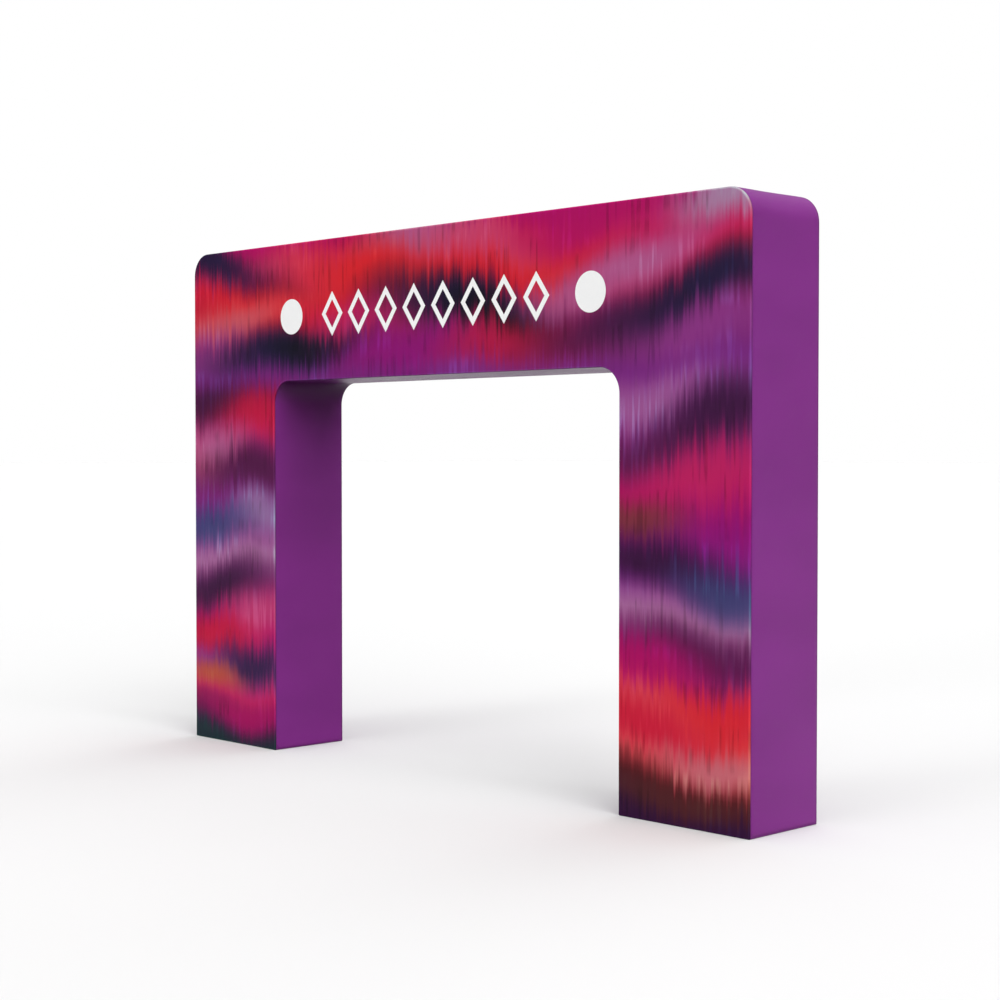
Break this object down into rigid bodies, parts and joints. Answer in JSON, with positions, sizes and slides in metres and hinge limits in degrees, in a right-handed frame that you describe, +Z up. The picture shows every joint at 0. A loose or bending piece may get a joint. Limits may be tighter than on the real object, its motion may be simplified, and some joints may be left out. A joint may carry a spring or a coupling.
{
  "type": "stretch-fabric advertising arch on a tube frame",
  "caption": "Free-standing walk-through arch: a stretch-cloth cover with a printed front and plain violet sides, pulled over a hidden square-tube frame.",
  "frame": {"origin": "on the floor, at the centre of the arch's footprint", "axes": "+X along the width, to the right as seen from the front; the printed front faces -Y; +Z up"},
  "size_m": [4.37, 0.52, 3],
  "materials": {
    "printed_cloth": "dye-printed warp-knit stretch polyester, soft vertical streaks of crimson, magenta, violet and navy, with white discs and outlined lozenges",
    "violet_cloth": "plain violet warp-knit stretch polyester, satin",
    "frame_tube": "mill-finish square tube",
    "base_plate": "black powder coat on steel plate"
  },
  "bodies": {
    "root": {"back_left_inner_bend": "frame_tube", "back_left_inner_post": "frame_tube", "back_left_leg_rung": "frame_tube", "back_left_lintel_rung": "frame_tube", "back_left_outer_bend": "frame_tube", "back_left_outer_post": "frame_tube", "back_panel": "violet_cloth", "back_right_inner_bend": "frame_tube", "back_right_inner_post": "frame_tube", "back_right_leg_rung": "frame_tube", "back_right_lintel_rung": "frame_tube", "back_right_outer_bend": "frame_tube", "back_right_outer_post": "frame_tube", "back_soffit_rail": "frame_tube", "back_top_rail": "frame_tube", "front_left_inner_bend": "frame_tube", "front_left_inner_post": "frame_tube", "front_left_leg_rung": "frame_tube", "front_left_lintel_rung": "frame_tube", "front_left_outer_bend": "frame_tube", "front_left_outer_post": "frame_tube", "front_panel": "printed_cloth", "front_right_inner_bend": "frame_tube", "front_right_inner_post": "frame_tube", "front_right_leg_rung": "frame_tube", "front_right_lintel_rung": "frame_tube", "front_right_outer_bend": "frame_tube", "front_right_outer_post": "frame_tube", "front_soffit_rail": "frame_tube", "front_top_rail": "frame_tube", "inner_band": "violet_cloth", "left_base_plate": "base_plate", "left_inner_post_tie": "frame_tube", "left_inner_rail_tie": "frame_tube", "left_outer_post_tie": "frame_tube", "left_outer_rail_tie": "frame_tube", "left_sole": "violet_cloth", "outer_band": "violet_cloth", "right_base_plate": "base_plate", "right_inner_post_tie": "frame_tube", "right_inner_rail_tie": "frame_tube", "right_outer_post_tie": "frame_tube", "right_outer_rail_tie": "frame_tube", "right_sole": "violet_cloth"}
  },
  "joints": []
}
